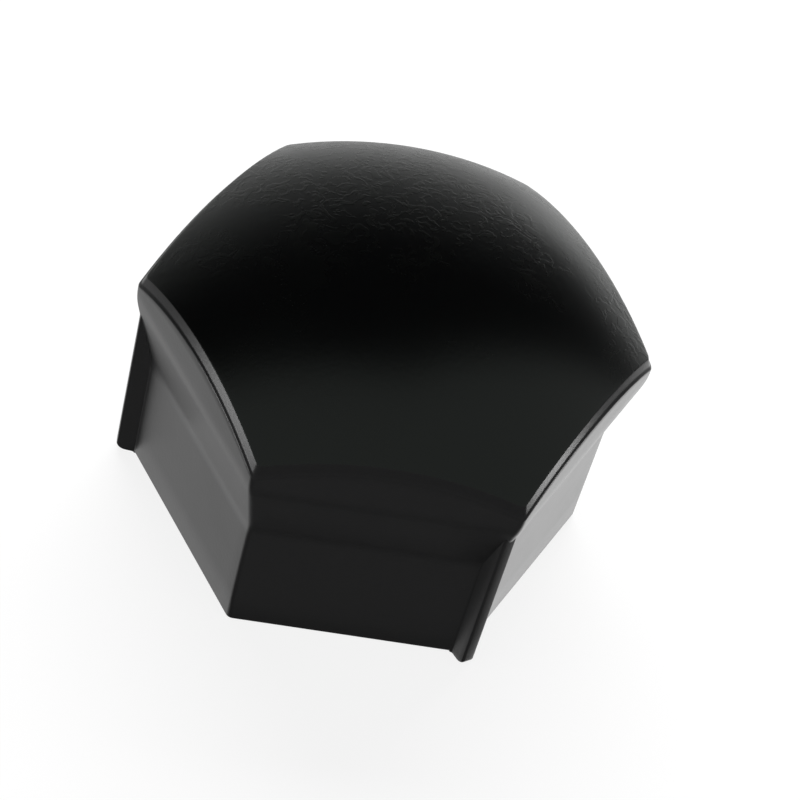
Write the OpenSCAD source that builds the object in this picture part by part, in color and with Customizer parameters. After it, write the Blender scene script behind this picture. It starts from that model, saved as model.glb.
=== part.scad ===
/* [Skirt] */

// Thickness of the skirt's six walls around the nut
skirt_wall = 1.35; // [0.8:0.05:3]

// Height at which the skirt starts to flare outward
bend_z = 7.0; // [3:0.1:8]

// How far each corner of the skirt and the rim is rounded off, measured toward the axis
corner_ease = 0.06; // [0.02:0.01:0.2]

/* [Rim] */

// How far the rim stands out from the skirt on each side, above the flare
rim_overhang = 0.95; // [0.4:0.05:2]

// Height at which the flare ends and the upright rim starts
rim_z = 10.9; // [7:0.1:13]

// Height of the rim at its corners, where the dome starts
rim_corner_z = 12.1; // [9:0.1:16]

/* [Dome] */

// Radius of the ball that the dome is part of
dome_radius = 18.8; // [14:0.1:40]

// Height of the narrow sloping band between the rim's edge and the dome
band_height = 0.28; // [0.15:0.01:1]

// How far the band leans inward over its height
band_lean = 0.14; // [0.05:0.01:0.8]

// Width of the small ledge outside the band
ledge_width = 0.12; // [0.05:0.01:0.5]

/* [Socket] */

// Width of the hexagon of the nut or bolt head that the cap covers, across its flats
nut_af = 17; // [15:0.1:24]

// Clearance on each side of the nut inside the cap
nut_clearance = 0.15; // [0.05:0.01:0.5]

// Thickness of the dome above the nut
dome_wall = 1.5; // [0.8:0.1:3]

// Size of the lead-in chamfer around the mouth
lead_in = 0.4; // [0.1:0.05:1]

/* [Fins] */

// How far the three fins stand out from the skirt's corners
fin_proud = 0.7; // [0.3:0.05:1.5]

// Thickness of each fin at its crest
fin_crest = 0.65; // [0.3:0.05:1.5]

// Thickness of each fin where it meets the skirt
fin_root = 0.8; // [0.4:0.05:2.5]

// Radius of each fin's lower outer end
fin_end_radius = 0.45; // [0.1:0.05:1]

/* [Hidden] */

$fn = 128;
slack = 1;
tiny = 0.01;

// Widths across the flats, from the nut outward
socket_af = nut_af + 2 * nut_clearance;
skirt_af = socket_af + 2 * skirt_wall;
rim_af = skirt_af + 2 * rim_overhang;

skirt_r = skirt_af / 2 / cos(30);
rim_r = rim_af / 2 / cos(30);

// The dome's ball passes through the rim's corners
rim_ease_r = rim_r - corner_ease;
dome_centre_z = rim_corner_z - sqrt(pow(dome_radius, 2) - pow(rim_ease_r, 2));
dome_top_z = dome_centre_z + dome_radius;

// The rim's edge lies on a smaller ball, and the band climbs from it to the dome
edge_radius = dome_radius - band_height;
band_af = rim_af - 2 * ledge_width;
band_angle = atan(band_lean / band_height);
band_foot_z = dome_centre_z + sqrt(pow(edge_radius, 2) - pow(band_af / 2, 2));

ceiling_radius = dome_radius - dome_wall;

fin_reach = skirt_r + fin_proud;
fin_centre_r = fin_reach - fin_crest / 2;
fin_base_r = skirt_r - fin_root / 2;
fin_top_z = rim_z - (rim_r - fin_reach) * (rim_z - bend_z) / (rim_r - skirt_r);

// A six-sided column with a flat face toward -Y
module hex_column(af, z0, z1) {
    translate([0, 0, z0])
        cylinder(r = af / 2 / cos(30), h = z1 - z0, $fn = 6);
}

// A six-sided taper between two widths
module hex_taper(af0, z0, af1, z1) {
    translate([0, 0, z0])
        cylinder(r1 = af0 / 2 / cos(30), r2 = af1 / 2 / cos(30), h = z1 - z0, $fn = 6);
}

// The space inside the eased corners, as a turned form
module eased_corners() {
    rotate_extrude() {
        polygon([
            [0, 0],
            [skirt_r - corner_ease, 0],
            [skirt_r - corner_ease, bend_z],
            [rim_ease_r, rim_z],
            [rim_ease_r, dome_top_z],
            [0, dome_top_z]
        ]);
    }
}

// The outer six sides: upright, flared, then upright again
module outer_sides() {
    hex_column(skirt_af, 0, bend_z);
    hex_taper(skirt_af, bend_z, rim_af, rim_z);
    hex_column(rim_af, rim_z, dome_top_z);
}

// Six planes that lean inward above the ledge
module band_sides() {
    fall = band_af * tan(90 - band_angle) / 2;
    rise = dome_top_z - rim_z;
    intersection_for(turn = [0:60:300]) {
        rotate([0, 0, turn + 30])
            translate([band_af / 2, 0, band_foot_z])
            rotate([0, -band_angle, 0])
            translate([-2 * fall, -rim_af, -rise])
            cube([2 * fall, 2 * rim_af, 3 * rise]);
    }
}

module rim_and_skirt() {
    intersection() {
        outer_sides();
        eased_corners();
        translate([0, 0, dome_centre_z])
            sphere(r = edge_radius);
    }
}

module dome() {
    intersection() {
        band_sides();
        hex_column(band_af, rim_z, dome_top_z + slack);
        eased_corners();
        translate([0, 0, dome_centre_z])
            sphere(r = dome_radius);
    }
}

// One fin along the +X corner, thick at its root and rounded at its crest
module fin() {
    intersection() {
        linear_extrude(height = fin_top_z) {
            polygon([
                [fin_base_r, -fin_root / 2],
                [fin_centre_r, -fin_crest / 2],
                [fin_centre_r, fin_crest / 2],
                [fin_base_r, fin_root / 2]
            ]);
            translate([fin_centre_r, 0])
                circle(d = fin_crest, $fn = 48);
        }
        rotate([90, 0, 0])
            linear_extrude(height = 2 * fin_root, center = true) {
                translate([fin_base_r, fin_end_radius])
                    square([fin_reach - fin_base_r, fin_top_z]);
                translate([fin_base_r, 0])
                    square([fin_reach - fin_base_r - fin_end_radius, fin_top_z]);
                translate([fin_reach - fin_end_radius, fin_end_radius])
                    circle(r = fin_end_radius, $fn = 48);
            }
    }
}

// The hollow that takes the nut, with a ceiling that follows the dome
module socket() {
    intersection() {
        hex_column(socket_af, -slack, dome_top_z);
        translate([0, 0, dome_centre_z])
            sphere(r = ceiling_radius);
    }
    hex_taper(socket_af + 2 * (lead_in + tiny), -tiny, socket_af, lead_in);
}

module cover_cap() {
    color([0.03, 0.03, 0.03])
        difference() {
            union() {
                rim_and_skirt();
                dome();
                for (turn = [60:120:300]) {
                    rotate([0, 0, turn])
                        fin();
                }
            }
            socket();
        }
}

cover_cap();
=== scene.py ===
import bpy
import bmesh
import math
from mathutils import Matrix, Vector


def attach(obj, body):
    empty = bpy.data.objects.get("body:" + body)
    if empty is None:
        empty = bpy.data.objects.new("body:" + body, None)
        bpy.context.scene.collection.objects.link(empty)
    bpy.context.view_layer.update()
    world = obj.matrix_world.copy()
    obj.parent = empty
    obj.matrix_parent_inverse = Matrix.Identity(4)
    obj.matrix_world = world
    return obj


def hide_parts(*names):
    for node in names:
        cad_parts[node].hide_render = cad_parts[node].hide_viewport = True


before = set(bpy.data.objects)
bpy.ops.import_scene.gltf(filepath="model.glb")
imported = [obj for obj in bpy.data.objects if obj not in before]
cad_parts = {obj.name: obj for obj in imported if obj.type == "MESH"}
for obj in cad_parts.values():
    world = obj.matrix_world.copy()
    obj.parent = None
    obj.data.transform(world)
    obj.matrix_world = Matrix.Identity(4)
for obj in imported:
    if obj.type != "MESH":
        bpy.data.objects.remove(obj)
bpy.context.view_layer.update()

mm = 0.001
scene = bpy.context.scene

# the camera first: its place and turn come from fitting the cap's corners to the photograph
cameraSettings = {
    "place": (-0.01559, -0.09317, 0.1088),
    "turnDegrees": (41.591, -11.139, 2.113),
    "lens": 126.7,
    "sensorWidth": 36,
    "nearest": 0.001,
    "farthest": 10,
}


def deselectAll():
    if bpy.context.mode != "OBJECT":
        bpy.ops.object.mode_set(mode="OBJECT")
    bpy.ops.object.select_all(action="DESELECT")


def turnOf(point):
    # the angle round the axis, counted from just before +X
    return (math.atan2(point.y, point.x) + 0.001) % (2 * math.pi)


# the moulding without its fins, in millimetres
capForm = {
    "skirtApothem": 10.0,      # half the width across flats
    "rimApothem": 10.95,
    "bendHeight": 7.0,
    "rimHeight": 10.9,
    "bendSoftness": 0.55,      # half the height over which each bend is rounded
    "bendSteps": (1, 0.6, 0.2, -0.2, -0.6, -1),
    "skirtCorner": 0.4,        # radius of the upright corners
    "rimCorner": 0.4,
    "middleCorner": 3,         # how much rounder the rings get toward the axis
    "domeRadius": 18.8,
    "domeCentre": -1.867,
    "domeSteps": 26,
    "domeReach": 0.985,        # where the dome's even rings stop, as a share of its width
    "bandHeight": 0.28,
    "bandLean": 0.14,
    "ledgeWidth": 0.12,
    "edgeRound": 0.07,
    "domeEdge": ((1, 0), (0.3, 0.1), (0, 0.5)),              # shares of edgeRound, inward and down
    "bandFoot": ((-0.025, 0.06), (0, 0.02), (0.03, 0)),      # outward and up from the ledge
    "rimEdge": ((0.05, 0), (0.015, 0.015), (0, 0.05)),       # inward and down
    "footRound": 0.18,
    "footDegrees": (30, 60, 90),
    "socketApothem": 8.65,
    "socketCorner": 0.3,
    "ceilingRadius": 17.3,
    "ceilingEdge": ((0, 0.3), (0.09, 0.09), (0.3, 0)),       # inward and down
    "ceilingSteps": 16,
    "leadIn": 0.4,
    "sideSteps": 18,
    "cornerSteps": 6,
    "quarters": (0.25, 0.5, 0.75),
}


def roundedHex(apothem, cornerRadius, form):
    # points of a six-sided outline, corner on +X, the same count whatever its size
    cornerRadius = min(cornerRadius, apothem * 0.6)
    centreDistance = (apothem - cornerRadius) / math.cos(math.radians(30))
    arcs = []
    for corner in range(6):
        turn = math.radians(60 * corner)
        centre = Vector((math.cos(turn), math.sin(turn))) * centreDistance
        arc = []
        for step in range(form["cornerSteps"] + 1):
            angle = turn - math.radians(30) + math.radians(60) * step / form["cornerSteps"]
            arc.append(centre + Vector((math.cos(angle), math.sin(angle))) * cornerRadius)
        arcs.append(arc)
    points = []
    for corner in range(6):
        points += arcs[corner]
        start, end = arcs[corner][-1], arcs[(corner + 1) % 6][0]
        for step in range(1, form["sideSteps"]):
            points.append(start.lerp(end, step / form["sideSteps"]))
    return points


def sideApothem(height, form):
    # upright skirt, flare, upright rim, with both bends softened
    low, high = form["bendHeight"], form["rimHeight"]
    inner, outer = form["skirtApothem"], form["rimApothem"]
    slope = (outer - inner) / (high - low)
    soft = form["bendSoftness"]

    def ramp(distance):
        if distance <= -soft:
            return 0.0
        if distance >= soft:
            return distance
        return (distance + soft) ** 2 / (4 * soft)
    return inner + slope * (ramp(height - low) - ramp(height - high))


def capRings(form):
    # every ring of the moulding, from the dome's top over the outside and foot to the ceiling
    rings = []
    outer, ceiling = form["domeRadius"], form["ceilingRadius"]
    edge = outer - form["bandHeight"]
    rim, rimCorner = form["rimApothem"], form["rimCorner"]
    skirtCorner, socketCorner = form["skirtCorner"], form["socketCorner"]

    def ring(apothem, corner, heightOf):
        points = roundedHex(apothem, corner, form)
        rings.append([Vector((p.x, p.y, heightOf(p.x, p.y))) * mm for p in points])

    def level(height):
        return lambda x, y: height

    def onBall(radius, drop=0.0):
        return lambda x, y: form["domeCentre"] + math.sqrt(radius * radius - x * x - y * y) - drop

    def between(start, end, share):
        return lambda x, y: start(x, y) * (1 - share) + end(x, y) * share

    # dome and its soft edge
    ledgeFoot = rim - form["ledgeWidth"]
    domeEdge = ledgeFoot - form["bandLean"]
    soft = form["edgeRound"]
    for step in range(1, form["domeSteps"] + 1):
        share = math.sin(math.radians(90 * step / form["domeSteps"])) * form["domeReach"]
        ring((domeEdge - soft) * share, rimCorner + (1 - share) * form["middleCorner"], onBall(outer))
    for inward, down in form["domeEdge"]:
        ring(domeEdge - soft * inward, rimCorner, onBall(outer, soft * down))
    # sloping band, the ledge at its foot and the rim's edge
    for outward, up in form["bandFoot"]:
        ring(ledgeFoot + outward, rimCorner, onBall(edge, -up))
    for inward, down in form["rimEdge"]:
        ring(rim - inward, rimCorner, onBall(edge, down))
    # rim's upright wall, from its arched edge down to a level ring
    low, high, bend = form["bendHeight"], form["rimHeight"], form["bendSoftness"]
    arched = onBall(edge, form["rimEdge"][-1][1])
    for share in form["quarters"]:
        ring(rim, rimCorner, between(arched, level(high + bend), share))
    # flare and skirt
    heights = [high + bend * s for s in form["bendSteps"]]
    heights += [high - bend - (high - low - 2 * bend) * s for s in form["quarters"]]
    heights += [low + bend * s for s in form["bendSteps"]]
    heights += [low * 0.6, low * 0.3, form["footRound"]]
    for height in heights:
        ring(sideApothem(height, form), skirtCorner, level(height))
    # foot
    foot = form["footRound"]
    for degrees in form["footDegrees"]:
        turn = math.radians(degrees)
        inward, height = foot * (1 - math.cos(turn)), foot * (1 - math.sin(turn))
        ring(form["skirtApothem"] - inward, skirtCorner, level(height))
    # lead-in and socket
    socket, lead = form["socketApothem"], form["leadIn"]
    for outward, height in ((lead + 0.05, 0.0), (lead, 0.02), (0.03, lead - 0.03), (0.0, lead + 0.04)):
        ring(socket + outward, socketCorner, level(height))
    ceilingFoot = onBall(ceiling, form["ceilingEdge"][0][1])
    for share in form["quarters"]:
        ring(socket, socketCorner, between(level(lead), ceilingFoot, share))
    for inward, down in form["ceilingEdge"]:
        ring(socket - inward, socketCorner, onBall(ceiling, down))
    ceilingReach = socket - form["ceilingEdge"][-1][0]
    for step in range(1, form["ceilingSteps"]):
        share = math.cos(math.radians(90 * step / form["ceilingSteps"]))
        ring(ceilingReach * share, socketCorner + (1 - share) * form["middleCorner"], onBall(ceiling))
    return rings


def placeSelectedRing(piece, targets):
    mesh = bmesh.from_edit_mesh(piece.data)
    chosen = sorted([v for v in mesh.verts if v.select], key=lambda v: turnOf(v.co))
    for vertex, target in zip(chosen, sorted(targets, key=turnOf)):
        vertex.co = target
    bmesh.update_edit_mesh(piece.data)


def closeOpenRing(piece, upperOnly):
    # an open ring is drawn to a point on the axis: the one on the dome, then the one in the ceiling
    bpy.ops.mesh.select_all(action="DESELECT")
    mesh = bmesh.from_edit_mesh(piece.data)
    loose = [e for e in mesh.edges if e.is_boundary]
    heights = [e.verts[0].co.z for e in loose]
    middle = (min(heights) + max(heights)) / 2
    for edge in loose:
        if not upperOnly or edge.verts[0].co.z > middle:
            edge.select_set(True)
    bmesh.update_edit_mesh(piece.data)
    bpy.ops.mesh.extrude_region_move()
    bpy.ops.mesh.merge(type="CENTER")


def startOutline(name, count, fill):
    deselectAll()
    bpy.ops.mesh.primitive_circle_add(vertices=count, radius=mm, fill_type=fill, location=(0, 0, 0))
    piece = bpy.context.object
    piece.name = name
    bpy.ops.object.mode_set(mode="EDIT")
    bpy.ops.mesh.select_mode(type="VERT")
    bpy.ops.mesh.select_all(action="SELECT")
    return piece


def finishPiece():
    bpy.ops.mesh.select_all(action="SELECT")
    bpy.ops.mesh.normals_make_consistent(inside=False)
    bpy.ops.object.mode_set(mode="OBJECT")


def buildShell(form):
    rings = capRings(form)
    piece = startOutline("capMoulding", len(rings[0]), "NOTHING")
    placeSelectedRing(piece, rings[0])
    for targets in rings[1:]:
        bpy.ops.mesh.extrude_region_move()
        placeSelectedRing(piece, targets)
    closeOpenRing(piece, True)
    closeOpenRing(piece, False)
    finishPiece()
    return piece


shell = buildShell(capForm)
print("shell:", len(shell.data.polygons), "faces")

# the three fins on every second corner, in millimetres
finForm = {
    "reach": 12.247,           # how far the crest is from the axis
    "crest": 0.65,             # thickness at the crest
    "root": 0.8,               # thickness where it meets the skirt
    "taperLength": 0.8,
    "crestRound": 0.12,
    "crestSteps": 5,
    "flankShares": (0.35, 0.7),
    "fillet": 0.18,            # radius between the fin and the skirt's faces
    "filletSteps": 7,
    "buried": 10.8,            # where the fin ends inside the wall
    "top": 10.25,
    "endRound": 0.42,
    "endSteps": 7,
    "angles": (60, 180, 300),
}


def finOutline(form, reach):
    # half of a level section through one fin along +X, then its mirror image
    half = form["crest"] / 2
    crest, fillet = form["crestRound"], form["fillet"]
    lean = math.atan2(form["root"] / 2 - half, form["taperLength"])
    faceTurn = math.radians(30)
    # the fillet's centre is the same distance from the flank and from the skirt's face
    shoulder = reach - crest
    fromFlank = shoulder * math.sin(lean) + half * math.cos(lean) + fillet
    fromFace = capForm["skirtApothem"] + fillet
    wide = math.cos(faceTurn + lean)
    filletX = (fromFace * math.cos(lean) - fromFlank * math.sin(faceTurn)) / wide
    filletY = (fromFlank * math.cos(faceTurn) - fromFace * math.sin(lean)) / wide
    upper = []
    for step in range(form["crestSteps"] + 1):
        angle = (math.pi / 2 - lean) * step / form["crestSteps"]
        upper.append(Vector((shoulder + crest * math.cos(angle), half - crest + crest * math.sin(angle))))
    flankStart = upper[-1]
    flankEnd = Vector((filletX - fillet * math.sin(lean), filletY - fillet * math.cos(lean)))
    for share in form["flankShares"]:
        upper.append(flankStart.lerp(flankEnd, share))
    for step in range(form["filletSteps"] + 1):
        angle = -math.pi / 2 - lean + (lean - math.radians(60)) * step / form["filletSteps"]
        upper.append(Vector((filletX + fillet * math.cos(angle), filletY + fillet * math.sin(angle))))
    upper.append(Vector((form["buried"], filletY - fillet * math.cos(math.radians(60)))))
    return upper + [Vector((p.x, -p.y)) for p in reversed(upper)]


def finLevels(form):
    # heights and reaches from the rounded lower end up
    end = form["endRound"]
    levels = []
    for step in range(form["endSteps"], -1, -1):
        angle = math.radians(90 * step / form["endSteps"])
        levels.append((end * (1 - math.sin(angle)), form["reach"] - end * (1 - math.cos(angle))))
    return levels + [(form["top"] * share, form["reach"]) for share in (0.25, 0.5, 0.75, 1)]


def placeOutline(piece, outline, height):
    # the newest ring of points comes last in the mesh, in the outline's order
    mesh = bmesh.from_edit_mesh(piece.data)
    chosen = [v for v in mesh.verts if v.select][-len(outline):]
    for vertex, point in zip(chosen, outline):
        vertex.co = Vector((point.x, point.y, height)) * mm
    bmesh.update_edit_mesh(piece.data)


def buildFin(form):
    piece = startOutline("cornerFin", len(finOutline(form, form["reach"])), "NGON")
    for number, (height, reach) in enumerate(finLevels(form)):
        if number > 0:
            bpy.ops.mesh.extrude_region_move()
        placeOutline(piece, finOutline(form, reach), height)
    finishPiece()
    return piece


fins = []
for angle in finForm["angles"]:
    fin = buildFin(finForm)
    fin.rotation_euler.z = math.radians(angle)
    fins.append(fin)
deselectAll()
for fin in fins:
    fin.select_set(True)
shell.select_set(True)
bpy.context.view_layer.objects.active = shell
bpy.ops.object.transform_apply(location=False, rotation=True, scale=False)
bpy.ops.object.join()
print("moulding with fins:", len(shell.data.polygons), "faces")

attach(shell, "root")
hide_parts("cover_cap")
deselectAll()
shell.select_set(True)
bpy.context.view_layer.objects.active = shell
bpy.ops.object.shade_smooth_by_angle(angle=math.radians(24))

# the sides are smooth, the dome has faint winding wrinkles toward its back; the dome's colour is painted
# shade, far darker than the sides' though it is the same plastic
sideFinish = {
    "colour": (0.008, 0.008, 0.0083, 1),
    "marked": (0.0095, 0.0095, 0.0097, 1),
    "roughness": (0.33, 0.37),
    "specular": 0.22,
    "glossTint": (1, 1, 1, 1),
    "markDepth": 0.0,
    "grain": 5200,
    "grainDepth": 0.1,
    "markScale": 420,
    "markWidth": 0.05,
}
domeFinishPaintedShade = {
    # the dome's colour and marked colour are painted shade: the same plastic as the sides, made far darker
    # so the top renders near black
    "colour": (0.0004, 0.0004, 0.0005, 1),
    "marked": (0.0006, 0.0007, 0.0006, 1),
    "roughness": (0.25, 0.31),
    "specular": 0.35,
    "glossTint": (0.9, 1, 0.93, 1),
    "markDepth": 0.22,
    "grain": 3800,
    "grainDepth": 0.12,
    "markScale": 1000,
    "markWidth": 0.07,
}
bumpHeight = 0.00003


def makePlastic(name, finish):
    material = bpy.data.materials.new(name)
    material.use_nodes = True
    nodes, links = material.node_tree.nodes, material.node_tree.links
    shader = nodes["Principled BSDF"]
    shader.inputs["Specular IOR Level"].default_value = finish["specular"]
    shader.inputs["Specular Tint"].default_value = finish["glossTint"]
    coords = nodes.new("ShaderNodeTexCoord")

    def noise(scale, detail, twist):
        node = nodes.new("ShaderNodeTexNoise")
        node.inputs["Scale"].default_value = scale
        node.inputs["Detail"].default_value = detail
        node.inputs["Distortion"].default_value = twist
        links.new(coords.outputs["Object"], node.inputs["Vector"])
        return node.outputs["Fac"]

    def spread(source, span, ends):
        node = nodes.new("ShaderNodeMapRange")
        node.inputs["From Min"].default_value, node.inputs["From Max"].default_value = span
        node.inputs["To Min"].default_value, node.inputs["To Max"].default_value = ends
        links.new(source, node.inputs["Value"])
        return node.outputs[0]

    def combine(operation, first, second):
        node = nodes.new("ShaderNodeMath")
        node.operation = operation
        links.new(first, node.inputs[0])
        if isinstance(second, float):
            node.inputs[1].default_value = second
        else:
            links.new(second, node.inputs[1])
        return node.outputs[0]

    # short winding wrinkles, the steep flanks of a twisted noise, in patches
    lines = spread(noise(finish["markScale"], 3, 2.2), (0.5, 0.5 + finish["markWidth"]), (0.0, 1.0))
    patches = spread(noise(210, 2, 0), (0.38, 0.55), (0.15, 1.0))
    # they fade out toward the front of the dome
    axes = nodes.new("ShaderNodeSeparateXYZ")
    links.new(coords.outputs["Object"], axes.inputs[0])
    behind = spread(axes.outputs["Y"], (-0.003, 0.003), (0.05, 1.0))
    marks = combine("MULTIPLY", combine("MULTIPLY", lines, patches), behind)
    blend = nodes.new("ShaderNodeMix")
    blend.data_type = "RGBA"
    blend.inputs[6].default_value = finish["colour"]
    blend.inputs[7].default_value = finish["marked"]
    links.new(marks, blend.inputs[0])
    links.new(blend.outputs[2], shader.inputs["Base Color"])
    # slow clouds in the gloss, half of its range, and the wrinkles the other half
    low, high = finish["roughness"]
    half = (high - low) * 0.5
    cloud = spread(noise(260, 4, 0.3), (0.3, 0.7), (low, low + half))
    links.new(combine("ADD", cloud, spread(marks, (0.0, 1.0), (0.0, half))), shader.inputs["Roughness"])
    bump = nodes.new("ShaderNodeBump")
    bump.inputs["Distance"].default_value = bumpHeight
    grain = combine("MULTIPLY", noise(finish["grain"], 2, 0), finish["grainDepth"])
    relief = combine("ADD", grain, combine("MULTIPLY", marks, finish["markDepth"]))
    links.new(relief, bump.inputs["Height"])
    links.new(bump.outputs[0], shader.inputs["Normal"])
    return material


shell.data.materials.clear()
shell.data.materials.append(makePlastic("sidePlastic", sideFinish))
shell.data.materials.append(makePlastic("domePlasticPaintedShade", domeFinishPaintedShade))
# the dome's faces, which get the painted shade, lie above the rim, outside the ball that cuts the rim's
# edge, and look up
domeStart = 10.5 * mm
domeBall = (capForm["domeRadius"] - capForm["bandHeight"] * 0.35) * mm
ballCentre = Vector((0, 0, capForm["domeCentre"] * mm))
domeFaces = 0
for face in shell.data.polygons:
    outside = (face.center - ballCentre).length > domeBall
    if face.center.z > domeStart and outside and face.normal.z > 0.5:
        face.material_index = 1
        domeFaces += 1
print("materials: 2, the dome's on", domeFaces, "faces")

# floor
floorFinish = {
    "size": 1.2,
    "colour": (0.86, 0.86, 0.86, 1),
    "roughness": 0.9,
    "cameraWhite": 0.85,       # how much of the plain white the camera sees over the floor's shading
}
deselectAll()
bpy.ops.mesh.primitive_plane_add(size=floorFinish["size"], location=(0, 0, 0))
floor = bpy.context.object
floor.name = "paleFloor"
floor.visible_glossy = False
floorMaterial = bpy.data.materials.new("paleFloor")
floorMaterial.use_nodes = True
nodes, links = floorMaterial.node_tree.nodes, floorMaterial.node_tree.links
shader = nodes["Principled BSDF"]
shader.inputs["Base Color"].default_value = floorFinish["colour"]
shader.inputs["Roughness"].default_value = floorFinish["roughness"]
shader.inputs["Specular IOR Level"].default_value = 0.0
glow = nodes.new("ShaderNodeEmission")
glow.inputs["Color"].default_value = (1, 1, 1, 1)
mix = nodes.new("ShaderNodeMixShader")
path = nodes.new("ShaderNodeLightPath")
share = nodes.new("ShaderNodeMath")
share.operation = "MULTIPLY"
share.inputs[1].default_value = floorFinish["cameraWhite"]
links.new(path.outputs["Is Camera Ray"], share.inputs[0])
links.new(share.outputs[0], mix.inputs[0])
links.new(shader.outputs[0], mix.inputs[1])
links.new(glow.outputs[0], mix.inputs[2])
links.new(mix.outputs[0], nodes["Material Output"].inputs["Surface"])
floor.data.materials.append(floorMaterial)
print("floor laid")

# world: white behind the object, and for its gloss a room that is lit in front and dark behind,
# over a floor that is dim in front and bright at the sides; each span is along an axis of the direction
roomTones = {
    "aboveFront": 0.54,
    "aboveBack": 0.02,
    "aboveFade": (-0.15, 0.05),
    "aboveRight": (0.1, 0.62),       # where the lit front reaches round to the right, and how far
    "lowBack": 0.32,                 # soft light low behind the cap
    "lowBackFade": (0.1, 0.7),
    "lowBackStart": (0.45, 0.85),
    "lowBackRight": (0.2, 0.6),
    "lowBackRightLeast": 0.2,
    "horizon": (-0.12, 0.2),
    "floorDim": (0.385, 0.06),
    "floorDimFade": (-0.6, -0.35),
    "floorBright": 1.18,
    "floorFrontFade": (-0.18, 0.18),
    "floorSideFade": (0.25, 0.48),
    "floorSideLeast": 0.35,
    "floorRight": (1.15, 1.95),
    "floorRightFade": (-0.4, 0.4),
    "farRightFade": (0.62, 0.86),    # dimmer straight to the right, which the narrow band mirrors
    "farRightShare": 0.0,
    "farLeftFade": (-0.96, -0.84),   # the same straight to the left
    "farLeftShare": 0.1,
    "floorDistant": (-0.65, -0.2),
    "floorDistantShare": 0.4,
    "floorFar": 0.36,
    "floorFarFade": (0.5, 0.75),
}
world = bpy.data.worlds.new("studio")
scene.world = world
world.use_nodes = True
nodes, links = world.node_tree.nodes, world.node_tree.links
room = nodes["Background"]
room.inputs["Color"].default_value = (1, 1, 1, 1)
coords = nodes.new("ShaderNodeTexCoord")
axes = nodes.new("ShaderNodeSeparateXYZ")
links.new(coords.outputs["Generated"], axes.inputs[0])
toRight, toBack, upward = axes.outputs["X"], axes.outputs["Y"], axes.outputs["Z"]


def fadeNode(source, span, ends):
    fade = nodes.new("ShaderNodeMapRange")
    fade.interpolation_type = "SMOOTHSTEP"
    fade.inputs["From Min"].default_value, fade.inputs["From Max"].default_value = span
    fade.inputs["To Min"].default_value, fade.inputs["To Max"].default_value = ends
    links.new(source, fade.inputs["Value"])
    return fade.outputs[0]


def mathNode(operation, first, second):
    node = nodes.new("ShaderNodeMath")
    node.operation = operation
    for number, value in enumerate((first, second)):
        if isinstance(value, (int, float)):
            node.inputs[number].default_value = value
        elif value is not None:
            links.new(value, node.inputs[number])
    return node.outputs[0]


tones = roomTones
rightStart, rightShare = tones["aboveRight"]
reach = mathNode("MULTIPLY", mathNode("MAXIMUM", toRight, rightStart), rightShare)
ahead = mathNode("SUBTRACT", toBack, reach)
above = fadeNode(ahead, tones["aboveFade"], (tones["aboveFront"], tones["aboveBack"]))
lowBack = mathNode("MULTIPLY", fadeNode(upward, tones["lowBackFade"], (tones["lowBack"], 0.0)),
                   fadeNode(toBack, tones["lowBackStart"], (0.0, 1.0)))
lessRight = fadeNode(toRight, tones["lowBackRight"], (1.0, tones["lowBackRightLeast"]))
lowBack = mathNode("MULTIPLY", lowBack, lessRight)
above = mathNode("ADD", above, lowBack)
aside = mathNode("ABSOLUTE", toRight, None)
sides = fadeNode(aside, tones["floorSideFade"], (tones["floorSideLeast"], 1.0))
sides = mathNode("MULTIPLY", sides, fadeNode(toRight, tones["floorRightFade"], tones["floorRight"]))
sides = mathNode("MULTIPLY", sides, fadeNode(toRight, tones["farRightFade"], (1.0, tones["farRightShare"])))
sides = mathNode("MULTIPLY", sides, fadeNode(toRight, tones["farLeftFade"], (tones["farLeftShare"], 1.0)))
bright = fadeNode(toBack, tones["floorFrontFade"], (0.0, tones["floorBright"]))
distant = fadeNode(upward, tones["floorDistant"], (1.0, tones["floorDistantShare"]))
bright = mathNode("MULTIPLY", bright, distant)
dim = fadeNode(toBack, tones["floorDimFade"], tones["floorDim"])
far = fadeNode(toBack, tones["floorFarFade"], (0.0, tones["floorFar"]))
below = mathNode("ADD", mathNode("MULTIPLY", sides, bright), mathNode("ADD", dim, far))
isAbove = fadeNode(upward, tones["horizon"], (0.0, 1.0))
upper = mathNode("MULTIPLY", above, isAbove)
lower = mathNode("MULTIPLY", below, mathNode("SUBTRACT", 1.0, isAbove))
links.new(mathNode("ADD", upper, lower), room.inputs["Strength"])
white = nodes.new("ShaderNodeBackground")
white.inputs["Color"].default_value = (1, 1, 1, 1)
white.inputs["Strength"].default_value = 1.0
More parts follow.
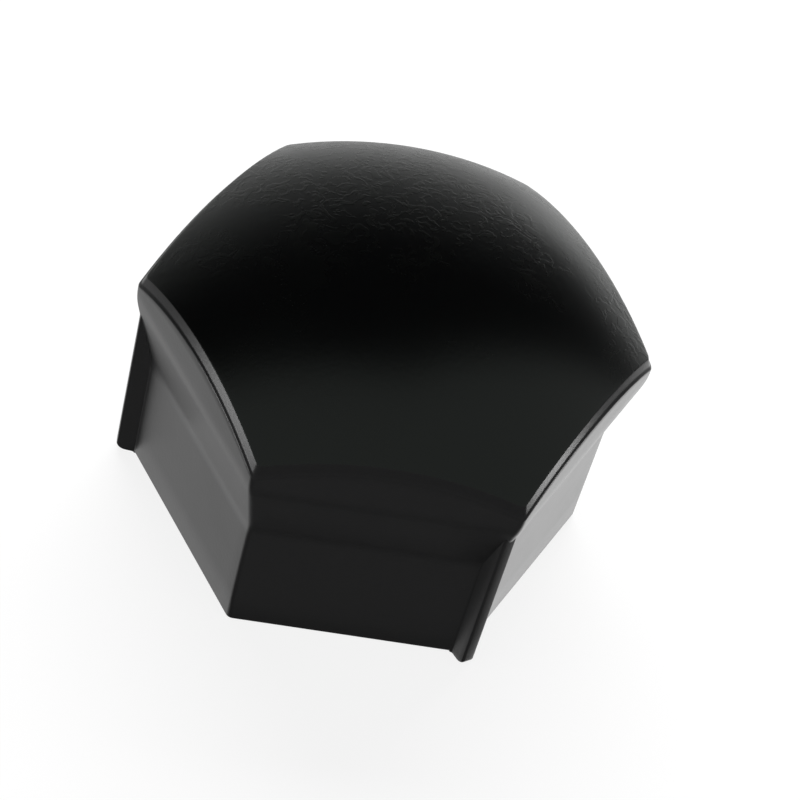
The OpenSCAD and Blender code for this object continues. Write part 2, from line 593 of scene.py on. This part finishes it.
path = nodes.new("ShaderNodeLightPath")
mix = nodes.new("ShaderNodeMixShader")
links.new(path.outputs["Is Camera Ray"], mix.inputs[0])
links.new(room.outputs[0], mix.inputs[1])
links.new(white.outputs[0], mix.inputs[2])
links.new(mix.outputs[0], nodes["World Output"].inputs["Surface"])
print("room:", len(nodes), "nodes")


def addPanel(name, place, size, power):
    deselectAll()
    bpy.ops.object.light_add(type="AREA", location=place)
    light = bpy.context.object
    light.name = name
    light.data.shape = "RECTANGLE"
    light.data.size, light.data.size_y = size
    light.data.energy = power
    light.visible_camera = False
    return light


# one soft box behind and above, only for the matt part of the light
softbox = {"place": (0.0, 0.16, 0.17), "target": (0, 0.01, 0), "size": (0.26, 0.16), "power": 1.1}
light = addPanel("backSoftbox", softbox["place"], softbox["size"], softbox["power"])
direction = Vector(softbox["target"]) - Vector(softbox["place"])
light.rotation_euler = direction.to_track_quat("-Z", "Y").to_euler()
light.visible_glossy = False

# two small cards that only the plastic's gloss shows, for the light along the narrow band
cards = {
    "leftFarCard": {
        "place": (-0.047, -0.0135, 0.006),
        "turn": (90, 0, -90),
        "size": (0.02, 0.012),
        "glow": 14.0,
    },
    "rightFarCard": {
        "place": (0.036, -0.006, 0.0024),
        "turn": (90, 0, 90),
        "size": (0.009, 0.008),
        "glow": 14.0,
    },
}
for name, card in cards.items():
    power = card["glow"] * math.pi * card["size"][0] * card["size"][1]
    light = addPanel(name, card["place"], card["size"], power)
    light.rotation_euler = [math.radians(a) for a in card["turn"]]
    light.visible_diffuse = False
print("lights:", 1 + len(cards))

# camera
deselectAll()
bpy.ops.object.camera_add(location=cameraSettings["place"])
camera = bpy.context.object
camera.rotation_euler = [math.radians(a) for a in cameraSettings["turnDegrees"]]
camera.data.lens = cameraSettings["lens"]
camera.data.sensor_width = cameraSettings["sensorWidth"]
camera.data.clip_start = cameraSettings["nearest"]
camera.data.clip_end = cameraSettings["farthest"]
scene.camera = camera

scene.view_settings.view_transform = "Standard"
